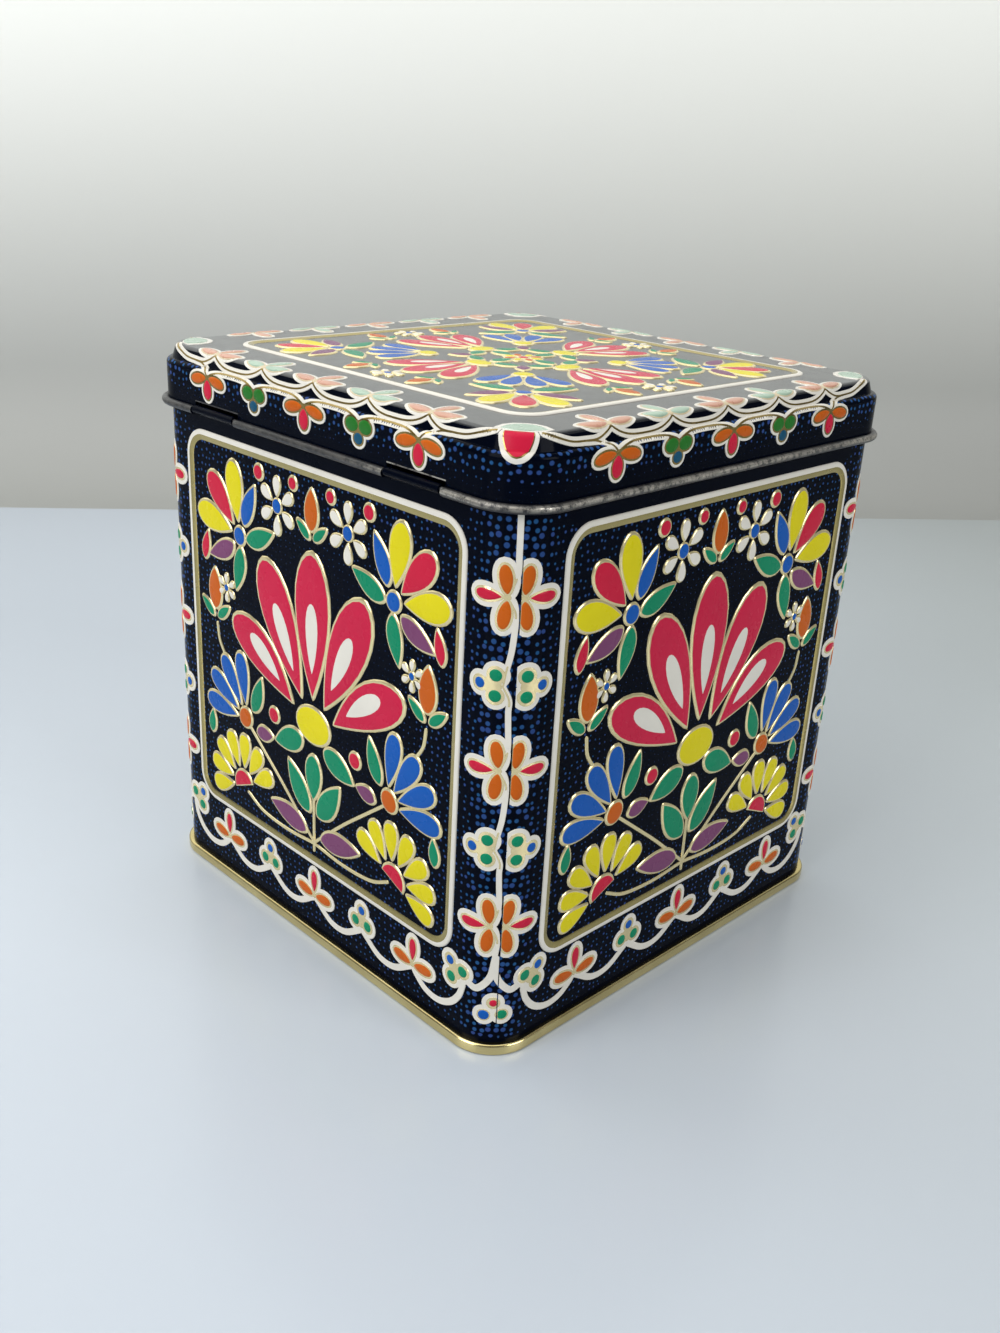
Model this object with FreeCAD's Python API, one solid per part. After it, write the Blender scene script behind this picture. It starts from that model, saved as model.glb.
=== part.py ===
import math
import os

import FreeCAD
import Part
from FreeCAD import Vector

# Tinplate
sheet = 0.3

# Body, measured outside its wall
body_width = 100.0
body_depth = 100.0
body_corner = 8.0
body_top = 106.4

# Hem folded inward round the mouth
hem_depth = 2.6
hem_gap = 0.3
hem_bevel = 0.2

# Upright lock seam at one corner
seam_lap = 3.2
seam_groove = 0.25
seam_offset = 0.9
seam_end_gap = 1.0

# Double seam round the base
rim_height = 2.2
rim_gap = 0.05
rim_bevel = 0.2
panel_rise = 1.9

# Lid
lid_clearance = 0.5
lid_rest_gap = 0.2
ledge_width = 1.1
step_height = 2.6
shoulder_bevel = 0.5
crown_lean = 0.8
crown_round = 1.0

# Hinge
hinge_drop = 7.25
wire_diameter = 0.8
wire_clearance = 0.05
wire_end_gap = 0.8
knuckle_width = 13.0
knuckle_spacing = 55.6
knuckle_gap = 0.5
notch_rise = 0.5
lance_gap = 0.2
tab_bend = 0.35
tab_slope = 20.0
tab_roll = 280.0
curl_chords = 12

# Pressed frames on the walls and the lid
frame_side = 10.5
frame_base = 16.6
frame_lid_gap = 2.8
frame_corner = 5.5
bead_width = 2.2
bead_rise = 0.35

# Heights and distances that follow from the sizes above
half_sheet = sheet / 2
wall_middle = -half_sheet
layer = sheet + rim_gap
curl_bore = wire_diameter / 2 + wire_clearance
curl_radius = curl_bore + sheet
hinge_height = body_top - hinge_drop
hinge_reach = lid_clearance + curl_radius
lid_edge = hinge_height - curl_radius
ledge_middle = body_top + lid_rest_gap + half_sheet
lid_top = ledge_middle + half_sheet + step_height
flat_width = body_width - 2 * body_corner
flat_depth = body_depth - 2 * body_corner
upright = Vector(0, 0, 1)
origin = Vector(0, 0, 0)


def arc(centre, radius, start, finish):
    angles = [math.radians(angle) for angle in (start, (start + finish) / 2, finish)]
    points = [centre + Vector(math.cos(angle), 0, math.sin(angle)) * radius for angle in angles]
    return Part.Arc(*points).toShape()


# Edges through a row of corners, each a point and the radius that rounds it off
def chain(corners):
    edges = []
    last = corners[0][0]
    for before, (point, radius), after in zip(corners, corners[1:], corners[2:]):
        to_before = (before[0] - point).normalize()
        to_after = (after[0] - point).normalize()
        half_angle = to_before.getAngle(to_after) / 2
        cut_back = radius / math.tan(half_angle)
        edges.append(Part.LineSegment(last, point + to_before * cut_back).toShape())
        last = point + to_after * cut_back
        if radius:
            inward = (to_before + to_after).normalize()
            crest = point + inward * (radius / math.sin(half_angle) - radius)
            edges.append(Part.Arc(point + to_before * cut_back, crest, last).toShape())
    edges.append(Part.LineSegment(last, corners[-1][0]).toShape())
    return edges


def face_within(edges):
    return Part.Face(Part.Wire(Part.sortEdges(edges)[0]))


# Both faces of a folded sheet, from the folds of its middle line: distance out, height, outside radius
def sheet_sides(folds):
    points = [Vector(fold[0], 0, fold[1]) for fold in folds]
    ways = [(after - before).normalize() for before, after in zip(points, points[1:])]
    left_side = []
    right_side = []
    for index, (point, fold) in enumerate(zip(points, folds)):
        before = ways[max(index - 1, 0)]
        after = ways[min(index, len(ways) - 1)]
        lefts = [Vector(-way.z, 0, way.x) for way in (before, after)]
        mitre = (lefts[0] + lefts[1]) * (half_sheet / (1 + lefts[0].dot(lefts[1])))
        radii = (fold[2], max(fold[2] - sheet, 0))
        turns_left = lefts[0].dot(after) < 0
        left_side.append((point + mitre, radii[turns_left]))
        right_side.append((point - mitre, radii[not turns_left]))
    return left_side, right_side


def folded(folds):
    left_side, right_side = sheet_sides(folds)
    return face_within(chain(left_side + right_side[::-1] + left_side[:1]))


def joined(pieces):
    return pieces[0].multiFuse(pieces[1:]).removeSplitter()


# A wall section carried round the four sides and corners. X = 0 is the outside of the body wall.
def around(section):
    section = section.copy()
    section.translate(Vector(body_corner, 0, 0))
    corner = section.revolve(origin, upright, 90)
    pieces = []
    for quarter, (sign_x, sign_y) in enumerate([(1, 1), (-1, 1), (-1, -1), (1, -1)]):
        centre = Vector(sign_x * flat_width / 2, sign_y * flat_depth / 2, 0)
        side = section.extrude(Vector(0, flat_depth if quarter % 2 else flat_width, 0))
        for piece, angle in ((corner, 90 * quarter), (side, 90 * quarter + 90)):
            placed = piece.copy()
            placed.rotate(origin, upright, angle)
            placed.translate(centre)
            pieces.append(placed)
    return joined(pieces)


# Flat face with rounded corners, centred on the Z axis
def rounded_face(width, depth, radius):
    x = width / 2
    y = depth / 2
    start = (Vector(x, 0, 0), 0)
    corners = [(Vector(i * x, 0, j * y), radius) for i, j in ((1, 1), (-1, 1), (-1, -1), (1, -1))]
    face = face_within(chain([start] + corners + [start]))
    face.rotate(origin, Vector(1, 0, 0), 90)
    return face


# Flat plate of sheet that fills the plan inside a given distance from the wall
def plate(reach, underside):
    face = rounded_face(body_width + 2 * reach, body_depth + 2 * reach, body_corner + reach)
    solid = face.extrude(Vector(0, 0, sheet))
    solid.translate(Vector(0, 0, underside))
    return solid


# Pressed bead round a panel: a ridge outside the sheet and the hollow behind it
def with_bead(solid, width, height, placement):
    def ring(inset, low):
        outer = rounded_face(width - 2 * inset, height - 2 * inset, frame_corner - inset)
        reach = bead_width - inset
        inner = rounded_face(width - 2 * reach, height - 2 * reach, frame_corner - reach)
        face = outer.cut(inner)
        solid_ring = face.extrude(Vector(0, 0, bead_rise))
        solid_ring.translate(Vector(0, 0, low))
        solid_ring.Placement = placement.multiply(solid_ring.Placement)
        return solid_ring
    ridge = ring(0, 0)
    hollow = ring(half_sheet, -sheet)
    return solid.fuse(ridge).cut(hollow)


def knuckle_centres():
    return (-knuckle_spacing / 2, knuckle_spacing / 2)


# Each tab bends out of the hinge wall, runs to the hinge line and rolls round the wire
def tab_section():
    slope = math.radians(tab_slope)
    run_start = tab_bend * (1 - math.sin(slope))
    run_end = hinge_reach + curl_radius * math.sin(slope)
    rise = (run_end - run_start) * math.tan(slope)
    low = hinge_height - curl_radius * math.cos(slope) - rise
    root = low - tab_bend * math.cos(slope)
    bend = arc(Vector(tab_bend, 0, root), tab_bend, 180, 90 + tab_slope)
    run = Part.LineSegment(Vector(run_start, 0, low), Vector(run_end, 0, low + rise)).toShape()
    roll = arc(Vector(hinge_reach, 0, hinge_height), curl_radius, tab_slope - 90, tab_slope - 90 + tab_roll)
    outside = Part.Wire([bend, run, roll])
    return outside.makeOffset2D(sheet, 0, True, True), root, outside.Length


def body_wrap():
    hook_middle = wall_middle + 2 * layer
    hook_low = layer + half_sheet
    hem_middle = wall_middle - sheet - hem_gap
    mouth = body_top - half_sheet
    section = folded([
        (hook_middle, rim_height - sheet - layer, 0),
        (hook_middle, hook_low + rim_bevel, 0),
        (hook_middle - rim_bevel, hook_low, 0),
        (wall_middle, hook_low, 0),
        (wall_middle, mouth - hem_bevel, 0),
        (wall_middle - hem_bevel, mouth, 0),
        (hem_middle + hem_bevel, mouth, 0),
        (hem_middle, mouth - hem_bevel, 0),
        (hem_middle, body_top - hem_depth, 0),
    ])
    wall = around(section)

    # Folded seam inside the corner between the hinge wall and the -X wall, with its groove outside
    seam_low = rim_height + seam_end_gap
    seam_height = body_top - hem_depth - seam_end_gap - seam_low
    seam_inside = body_corner - sheet
    seam_angle = math.degrees(seam_lap / seam_inside)
    seam_turn = 135 + math.degrees(seam_offset / body_corner)
    fold = Part.makeCylinder(seam_inside, seam_height, Vector(0, 0, seam_low), upright, seam_angle)
    fold = fold.cut(Part.makeCylinder(seam_inside - 2 * sheet, seam_height, Vector(0, 0, seam_low)))
    groove = Part.makeBox(sheet, seam_groove, seam_height)
    groove.translate(Vector(body_corner - half_sheet, -seam_groove / 2, seam_low))
    for piece, angle in ((fold, seam_turn - seam_angle / 2), (groove, seam_turn)):
        piece.rotate(origin, upright, angle)
        piece.translate(Vector(-flat_width / 2, flat_depth / 2, 0))
    wall = wall.fuse(fold).cut(groove)

    # Pressed frame on each wall
    frame_top = lid_edge - frame_lid_gap
    middle = (frame_top + frame_base) / 2
    stand = FreeCAD.Rotation(Vector(0, 1, 0), Vector(0, 0, 1), Vector(1, 0, 0), "ZXY")
    for quarter in range(4):
        across, reach = (body_width, body_depth / 2) if quarter % 2 else (body_depth, body_width / 2)
        facing = FreeCAD.Rotation(upright, 90 * quarter)
        place = FreeCAD.Placement(facing.multVec(Vector(reach, 0, middle)), facing.multiply(stand))
        wall = with_bead(wall, across - 2 * frame_side, frame_top - frame_base, place)

    # Hinge tabs, and the windows that they were lanced from
    section, root, flat_length = tab_section()
    window_width = knuckle_width + 2 * lance_gap
    for centre in knuckle_centres():
        window = Part.makeBox(window_width, 2 * sheet, flat_length)
        window.translate(Vector(centre - window_width / 2, body_depth / 2 - 1.5 * sheet, root))
        tab = section.extrude(Vector(0, knuckle_width, 0))
        tab.rotate(origin, upright, 90)
        tab.translate(Vector(centre + knuckle_width / 2, body_depth / 2, 0))
        wall = wall.cut(window).fuse(tab)
    return wall.removeSplitter()


def base_pan():
    chuck_middle = wall_middle - layer
    rim_middle = wall_middle + 3 * layer
    panel_edge = chuck_middle - sheet
    top_middle = rim_height - half_sheet
    section = folded([
        (panel_edge, panel_rise + half_sheet, 0),
        (chuck_middle, panel_rise + half_sheet, 0),
        (chuck_middle, half_sheet, 0),
        (rim_middle - rim_bevel, half_sheet, 0),
        (rim_middle, half_sheet + rim_bevel, 0),
        (rim_middle, top_middle - rim_bevel, 0),
        (rim_middle - rim_bevel, top_middle, 0),
        (rim_middle - 2 * layer, top_middle, 0),
        (rim_middle - 2 * layer, 2 * layer + sheet, 0),
    ])
    return joined([around(section), plate(panel_edge, panel_rise)])


def lid_cap():
    skirt_middle = lid_clearance + half_sheet
    crown_middle = skirt_middle - ledge_width
    crown_top = crown_middle - crown_lean
    crown_edge = crown_top + half_sheet - crown_round
    outside, inside = sheet_sides([
        (crown_edge, lid_top - half_sheet, 0),
        (crown_top, lid_top - half_sheet, crown_round),
        (crown_middle, ledge_middle, 0),
        (skirt_middle - shoulder_bevel, ledge_middle, 0),
        (skirt_middle, ledge_middle - shoulder_bevel, 0),
        (skirt_middle, hinge_height, 0),
    ])

    # The lower edge is curled outward into a tight bead, which closes on the outside of the skirt
    centre = Vector(hinge_reach, 0, hinge_height)
    curl_turn = math.pi + math.acos((sheet - curl_radius) / curl_radius)
    curl = []
    for chord in range(curl_chords):
        angle = curl_turn * (1 - chord / curl_chords) - math.pi
        curl.append((centre + Vector(math.cos(angle), 0, math.sin(angle)) * curl_radius, 0))
    section = face_within(chain(outside[:-1] + curl + inside[::-1] + outside[:1]))
    cap = joined([around(section), plate(crown_edge, lid_top - sheet)])

    # Pressed frame on the top
    top = FreeCAD.Placement(Vector(0, 0, lid_top), FreeCAD.Rotation())
    cap = with_bead(cap, body_width - 2 * frame_side, body_depth - 2 * frame_side, top)

    # Bore for the wire along the hinge side, and notches round the body's knuckles
    hinge_y = body_depth / 2 + hinge_reach
    bore_start = Vector(-flat_width / 2, hinge_y, hinge_height)
    cap = cap.cut(Part.makeCylinder(curl_bore, flat_width, bore_start, Vector(1, 0, 0)))
    notch_width = knuckle_width + 2 * knuckle_gap
    for centre in knuckle_centres():
        notch = Part.makeBox(notch_width, 2 * curl_radius + sheet, 2 * curl_radius + notch_rise + sheet)
        corner = Vector(centre - notch_width / 2, hinge_y - curl_radius - half_sheet, lid_edge - sheet)
        notch.translate(corner)
        cap = cap.cut(notch)
    return cap.removeSplitter()


def hinge_wire():
    length = flat_width - 2 * wire_end_gap
    start = Vector(-length / 2, body_depth / 2 + hinge_reach, hinge_height)
    return Part.makeCylinder(wire_diameter / 2, length, start, Vector(1, 0, 0))


os.makedirs("parts", exist_ok=True)
for make in (body_wrap, base_pan, lid_cap, hinge_wire):
    make().exportStep(f"parts/{make.__name__}.step")
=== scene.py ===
import math

import bpy
import numpy as np
from mathutils import Matrix, Vector
from mathutils.geometry import delaunay_2d_cdt


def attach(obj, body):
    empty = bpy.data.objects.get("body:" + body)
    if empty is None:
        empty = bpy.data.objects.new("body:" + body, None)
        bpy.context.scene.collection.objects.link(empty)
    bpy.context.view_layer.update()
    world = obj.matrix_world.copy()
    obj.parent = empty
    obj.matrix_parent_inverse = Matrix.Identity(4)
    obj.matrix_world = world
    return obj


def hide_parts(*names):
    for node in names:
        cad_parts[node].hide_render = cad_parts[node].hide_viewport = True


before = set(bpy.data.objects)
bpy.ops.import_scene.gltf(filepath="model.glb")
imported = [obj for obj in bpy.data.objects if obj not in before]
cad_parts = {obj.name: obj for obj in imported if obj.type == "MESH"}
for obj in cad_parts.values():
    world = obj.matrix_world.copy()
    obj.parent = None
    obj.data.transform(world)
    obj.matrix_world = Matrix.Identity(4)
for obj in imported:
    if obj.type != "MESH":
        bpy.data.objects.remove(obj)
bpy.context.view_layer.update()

# Sizes in millimetres, as in the solids but for CURL_Z and FRAME_HIGH, which follow the photograph
MM = 0.001
FLAT = 42.0
CORNER = 8.0
HALF = FLAT + CORNER
SIDE = 2 * FLAT + CORNER * math.pi / 2
SHEET = 0.3
BODY_TOP = 106.4
RIM_HEIGHT = 2.2
HINGE_OUT = 1.25
HINGE_Z = 99.15
HINGE_SIDE = 2 * SIDE
CURL = 0.75
CURL_Z = HINGE_Z - 0.3
SKIRT_OUT = 0.8
LID_TOP = 109.5
LEDGE = 106.9
CROWN_FOOT = -0.34
CROWN_TIP = -1.14
CROWN_ROUND = 1.0
NOTCH_HIGH = 100.4
NOTCH_EDGE = 0.22
KNUCKLE_WIDTH = 13.0
KNUCKLE_PLACES = (-27.8, 27.8)
FRAME_HALF = 39.5
FRAME_LOW = 16.6
FRAME_HIGH = 95.2
FRAME_ROUND = 5.5
PANEL_MIDDLE = (FRAME_LOW + FRAME_HIGH) / 2
SEAM = 0.9
# Width of the bare line left at the lock seam: painted shade for the lapped edge's shadow
SEAM_SHADE_WIDTH = 0.25

# Steps of the meshes, and help with directions
CORNER_STEPS = 14
STRAIGHT_STEPS = 12
HEM_STEPS = 10
MIRROR = np.array([-1.0, 1.0])
TINY = 1e-9

scene = bpy.context.scene
scene.view_settings.view_transform = "Standard"


def unit(ways):
    return ways / np.maximum(np.hypot(*ways.T), TINY)[:, None]


# Unit normals on the right of a row of directions
def to_right(ways):
    return unit(np.stack([ways[:, 1], -ways[:, 0]], 1))


# Plan position at place s on the perimeter, d outside the body wall. A side's middle is a whole multiple of SIDE.
def around(s, d):
    side = np.round(s / SIDE)
    along_side = s - side * SIDE
    turn = np.clip(np.abs(along_side) - FLAT, 0, None) / CORNER
    right = np.sign(along_side) * (np.minimum(np.abs(along_side), FLAT) + (CORNER + d) * np.sin(turn))
    out = FLAT + (CORNER + d) * np.cos(turn)
    angle = side * math.pi / 2
    return right * np.cos(angle) + out * np.sin(angle), right * np.sin(angle) - out * np.cos(angle)


def arc(centre, radius, start, finish, steps):
    angles = np.radians(np.linspace(start, finish, steps + 1))
    return np.stack([centre[0] + radius * np.cos(angles), centre[1] + radius * np.sin(angles)], 1)


def path(*pieces):
    return np.concatenate([np.atleast_2d(np.array(piece, float)) for piece in pieces])


# Length of a line up to each of its points
def along(line):
    return np.concatenate([[0], np.cumsum(np.hypot(*np.diff(line, axis=0).T))])


# Points through a row of corners, each a place and the radius that rounds it off
def rounded(corners, steps=8):
    made = [np.array(corners[0][:2], float)]
    for before, (x, z, radius), after in zip(corners, corners[1:], corners[2:]):
        corner = np.array([x, z], float)
        back, ahead = unit(np.array([before[:2], after[:2]], float) - corner)
        half = math.acos(back @ ahead) / 2
        centre = corner + (back + ahead) / np.hypot(*(back + ahead)) * radius / math.sin(half)
        start, finish = (corner + way * radius / math.tan(half) - centre for way in (back, ahead))
        turn = math.pi - 2 * half
        for t in np.linspace(0, 1, steps + 1):
            made.append(centre + (start * math.sin((1 - t) * turn) + finish * math.sin(t * turn)) / math.sin(turn))
    made.append(np.array(corners[-1][:2], float))
    return np.array(made)


# Meshes
def add_object(name, verts, faces, materials, face_materials=None, uvs=None, sharp=35):
    mesh = bpy.data.meshes.new(name)
    mesh.from_pydata((np.asarray(verts, float) * MM).tolist(), [], faces)
    for material in materials:
        mesh.materials.append(material)
    if face_materials is not None:
        mesh.polygons.foreach_set("material_index", face_materials)
    if uvs is not None:
        layer = mesh.uv_layers.new(name="place")
        layer.data.foreach_set("uv", np.asarray(uvs, np.float32).ravel())
    mesh.polygons.foreach_set("use_smooth", [True] * len(mesh.polygons))
    mesh.set_sharp_from_angle(angle=math.radians(sharp))
    obj = bpy.data.objects.new(name, mesh)
    scene.collection.objects.link(obj)
    return obj


# Quads between two rings of points, each given by the number of its first point
def ring_quads(count, near, far):
    return [[near + i, near + (i + 1) % count, far + (i + 1) % count, far + i] for i in range(count)]


# A closed wall section carried round the perimeter, with cuts that remove a stretch of it
class Sweep:
    def __init__(self, section, lengths, places, zones):
        self.section, self.lengths, self.places, self.zones = section, lengths, places, zones
        self.count = len(section)
        self.skipped = set()
        self.extra = []
        self.caps = []
        self.marked = {}

    # Removes the section's points first to last between two stations, and closes what is left
    def cut(self, start, finish, spans):
        for station in range(start, finish):
            for first, last in spans:
                self.skipped.update((station, point) for point in range(first, last))
        ring = [point for first, last in spans for point in range(first, last + 1)]
        self.extra.append([(start, point) for point in ring])
        self.extra.append([(finish, point) for point in reversed(ring)])
        for (_, near), (far, _) in zip(spans, spans[1:] + spans[:1]):
            for station in range(start, finish):
                self.extra.append([(station, near), (station, far), (station + 1, far), (station + 1, near)])

    def build(self, name, materials):
        faces, face_materials, uvs = [], [], []
        total = len(self.places)

        def add(corners, zone):
            faces.append([station % total * self.count + point % self.count for station, point in corners])
            face_materials.append(zone)
            for station, point in corners:
                lap = station // total * 4 * SIDE
                uvs.append((self.places[station % total] + lap, self.lengths[point % self.count]))

        for station in range(total):
            for point in range(self.count):
                if (station, point) not in self.skipped:
                    add([(station, point), (station, point + 1), (station + 1, point + 1), (station + 1, point)],
                        self.marked.get((station, point), self.zones[point]))
        for corners in self.extra:
            add(corners, self.zones[corners[0][1] % self.count])
        for point, zone, flip in self.caps:
            ring = [(station, point) for station in range(total)]
            add(ring[::-1] if flip else ring, zone)
        d, z = (np.tile(column, total) for column in self.section.T)
        verts = np.stack([*around(np.repeat(self.places, self.count), d), z], 1)
        return add_object(name, verts, faces, materials, face_materials, uvs)


# Places round the perimeter: corners and straights in even steps, and the stops that cuts need
def stations(stops=()):
    places = list(stops)
    turn = SIDE / 2 - FLAT
    steps = turn * np.arange(CORNER_STEPS) / CORNER_STEPS
    for middle in SIDE * np.arange(4):
        places.extend(middle - FLAT - turn + steps)
        places.extend(middle + np.linspace(-FLAT, FLAT, STRAIGHT_STEPS + 1))
        places.extend(middle + FLAT + steps[1:])
    return np.unique(np.round(places, 5))


# Places with stops at both ends of the openings for the knuckles, and the numbers of those stops
def stations_with_openings(half):
    openings = [(HINGE_SIDE + middle - half, HINGE_SIDE + middle + half) for middle in KNUCKLE_PLACES]
    places = stations([stop for ends in openings for stop in ends])
    return places, [[int(np.argmin(np.abs(places - stop))) for stop in ends] for ends in openings]


# Flat shapes, each an outline of points anticlockwise
def petal(start, length, width, base, tip, bend=0.0, points=12):
    t = (1 - np.cos(np.pi * np.arange(points + 1) / points)) / 2
    peak = base / (base + tip)
    half = width / 2 * (t / peak) ** base * ((1 - t) / (1 - peak)) ** tip
    middle = bend * t * t
    x = start + length * t
    lower = np.stack([x, middle - half], 1)
    upper = np.stack([x, middle + half], 1)
    return np.concatenate([lower, upper[-2:0:-1]])


def disc(radius, points=20, stretch=1.0):
    angles = 2 * np.pi * np.arange(points) / points
    return np.stack([radius * np.cos(angles), radius * stretch * np.sin(angles)], 1)


def moved(shape, at=(0, 0), turn=0.0):
    angle = math.radians(turn)
    rotation = np.array([[math.cos(angle), math.sin(angle)], [-math.sin(angle), math.cos(angle)]])
    return shape @ rotation + np.array(at, float)


def mirrored(shape):
    return (shape * MIRROR)[::-1]


def anticlockwise(shape):
    x, y = shape.T
    return shape if np.sum(x * np.roll(y, -1) - np.roll(x, -1) * y) > 0 else shape[::-1]


# Which of the points lie inside a shape
def lies_within(shape, points):
    within = np.zeros(len(points), bool)
    low, high = shape.min(0), shape.max(0)
    near = np.flatnonzero(np.all((points >= low) & (points <= high), 1))
    x, y = points[near, 0], points[near, 1]
    odd = np.zeros(len(near), bool)
    for (x0, y0), (x1, y1) in zip(shape, np.roll(shape, -1, 0)):
        if y0 != y1:
            odd ^= ((y0 > y) != (y1 > y)) & (x < x0 + (y - y0) * (x1 - x0) / (y1 - y0))
    within[near] = odd
    return within


# The part of a shape to the right of x = limit
def clipped(shape, limit):
    kept = []
    for a, b in zip(shape, np.roll(shape, -1, 0)):
        if a[0] >= limit:
            kept.append(a)
        if (a[0] >= limit) != (b[0] >= limit):
            kept.append(a + (b - a) * (limit - a[0]) / (b[0] - a[0]))
    return np.array(kept) if len(kept) > 2 else None


def grown(shape, reach):
    before = shape - np.roll(shape, 1, 0)
    after = np.roll(shape, -1, 0) - shape
    return shape + unit(to_right(before) + to_right(after)) * reach


# A smooth line through points
def curve(points, steps=8):
    points = np.array(points, float)
    padded = np.concatenate([2 * points[:1] - points[1:2], points, 2 * points[-1:] - points[-2:-1]])
    made = []
    for i in range(len(points) - 1):
        p0, p1, p2, p3 = padded[i:i + 4]
        for t in np.arange(steps) / steps:
            made.append(0.5 * (2 * p1 + (p2 - p0) * t + (2 * p0 - 5 * p1 + 4 * p2 - p3) * t * t
                               + (3 * p1 - p0 - 3 * p2 + p3) * t ** 3))
    made.append(points[-1])
    return np.array(made)


# A line of even width as overlapping pieces with round ends
def stroke(line, width):
    aside = to_right(np.gradient(line, axis=0)) * width / 2
    left, right = line - aside, line + aside
    shapes = [np.array([right[i], right[i + 1], left[i + 1], left[i]]) for i in range(len(line) - 1)]
    return shapes + [moved(disc(width / 2, 10), end) for end in (line[0], line[-1])]


GOLD_LINE = 0.45


# A design: flat shapes by ink, embossed shapes with a gold edge, and the inks that make plates of their own
class Print:
    def __init__(self):
        self.inks = {}
        self.raised = []
        self.flat = set()

    def add(self, ink, *shapes):
        self.inks.setdefault(ink, []).extend(shapes)

    def outlined(self, ink, shape, gold, white):
        self.add(ink, shape)
        self.add("gold", grown(shape, gold))
        self.add("white", grown(shape, gold + white))

    # An embossed shape, once for each turn from its aim
    def emboss(self, ink, shape, at, aim=0.0, turns=(0,), edge=GOLD_LINE):
        self.raised.extend((ink, moved(shape, at, aim + turn), edge) for turn in turns)

    def take(self, other, at=(0, 0), turn=0.0, mirror=False):
        def placed(shape):
            return moved(mirrored(shape) if mirror else shape, at, turn)

        for ink, shapes in other.inks.items():
            self.add(ink, *map(placed, shapes))
        self.raised.extend((ink, placed(shape), edge) for ink, shape, edge in other.raised)


# Border ornament: trefoils that point along +Y from the vine
TREFOIL_ROOT = (0, 0.35)
TREFOIL_HUB = (0, 0.45)


def long_trefoil(wing, tip, droop, gold, white, inks=("orange", "red")):
    design = Print()
    wing, tip = petal(*wing, 0.65, 0.5), petal(*tip, 0.5)
    for ink, shape, turn in ((inks[0], wing, droop), (inks[0], wing, 180 - droop), (inks[1], tip, 90)):
        design.outlined(ink, moved(shape, TREFOIL_ROOT, turn), gold, white)
    design.add("gold", moved(disc(0.6), TREFOIL_HUB))
    design.add("white", moved(disc(1.1), TREFOIL_HUB))
    return design


def round_trefoil(inks, wing, tip, gold, white, filler):
    design = Print()
    (x, y, *wing_size), (height, *tip_size) = wing, tip
    spots = ((inks[0], (-x, y), wing_size), (inks[0], (x, y), wing_size), (inks[1], (0, height), tip_size))
    for ink, at, (radius, stretch) in spots:
        design.outlined(ink, moved(disc(radius, 24, stretch), at), gold, white)
    design.add("gold", moved(disc(filler), (0, height / 2)))
    return design


WALL_TREFOILS = {
    "orange": long_trefoil((0.5, 4.75, 2.1), (0.9, 4.6, 1.8, 0.85), 8, 0.34, 0.78),
    "green": round_trefoil(("green", "blue"), (1.75, 1.6, 1.05, 1.0), (4.3, 0.9, 1.0), 0.5, 0.77, 1.6),
}
LID_TREFOILS = {
    "orange": long_trefoil((0.45, 4.9, 1.9), (0.4, 3.6, 2.5, 0.6), 9, 0.26, 0.44),
    "green": round_trefoil(("leaf", "petrol"), (1.7, 0.85, 1.65, 0.72), (2.95, 1.15, 0.85), 0.26, 0.44, 1.2),
}
MIRROR_TREFOILS = {
    kind: long_trefoil((0.45, length, 2.0), (0.55, 5.2, 2.1, 0.85), 9, 0.2, 0.5, (ink, ink))
    for kind, length, ink in (("orange", 5.5, "blush"), ("green", 5.3, "mint"))
}
KINDS = ("orange", "green", "orange", "green", "orange")
MOTIF_PLACES = [14.7 * i for i in (-2, -1, 0, 1, 2)]
COLUMN_HEIGHTS = 84.8 - 14.65 * np.arange(5)
VINE = 0.9
BORDER_VINE = VINE + 0.35
VINE_GOLD = 0.26
VINE_GOLD_REACH = 3.4
VINE_WAVES = {
    "orange": [(0, 0), (0.13, 0.8), (0.22, 1), (0.42, 0.93), (0.62, 0.72), (0.82, 0.3), (1, 0)],
    "green": [(0, 0), (0.15, 0.75), (0.3, 0.75), (0.5, 0.85), (0.7, 0.95), (0.85, 0.75), (1, 0)],
}


# Vine down the column's middle, with its cusps at the trefoils on one side and gold near them
def column_vine(design, sign, cusp, bulge):
    def place(across, z):
        return sign * (across * (bulge + cusp) - cusp), z

    first, last = COLUMN_HEIGHTS[0], COLUMN_HEIGHTS[-1]
    lines = [[place(0.95, 97.9), place(1, 92), place(0.95, first + 3.4), place(0, first)]]
    for kind, upper, lower in zip(KINDS, COLUMN_HEIGHTS, COLUMN_HEIGHTS[1:]):
        lines.append([place(across, upper + (lower - upper) * down) for down, across in VINE_WAVES[kind]])
    lines.append([place(0, last), place(0.8, last - 1.9), place(1, last - 3.3), place(0.85, 20.6), place(0.75, 18.5)])
    for line in map(curve, lines):
        design.add("white", *stroke(line, VINE))
        away = np.min(np.abs(line[:, 1:] - COLUMN_HEIGHTS), 1)
        breaks = np.flatnonzero(np.diff(away < VINE_GOLD_REACH)) + 1
        for part, start in zip(np.split(line, breaks), np.split(away, breaks)):
            if len(part) > 2 and start[0] < VINE_GOLD_REACH + 0.1:
                design.add("gold", *stroke(part, VINE_GOLD))


def column_foot(design):
    for sign in (-1, 1):
        line = [(0.2, 19.8), (0.6 * sign, 15.8), (2.85 * sign, 13.2), (4.8 * sign, 13.8), (6.0 * sign, 13.0)]
        design.add("white", *stroke(curve(line), BORDER_VINE), moved(disc(0.8), (6.1 * sign, 12.7)))
        design.take(WALL_TREFOILS["green"], (6.2 * sign, 12.9), -40 * sign)
    for ink, at, radius in (("red", (0.2, 10.6), 0.7), ("blue", (-1.4, 8.0), 1.0), ("green", (1.75, 8.2), 0.95)):
        design.add(ink, moved(disc(radius), at))
        design.add("gold", moved(disc(1.2), at))
        design.add("white", moved(disc(2.0, 24), at))
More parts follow.
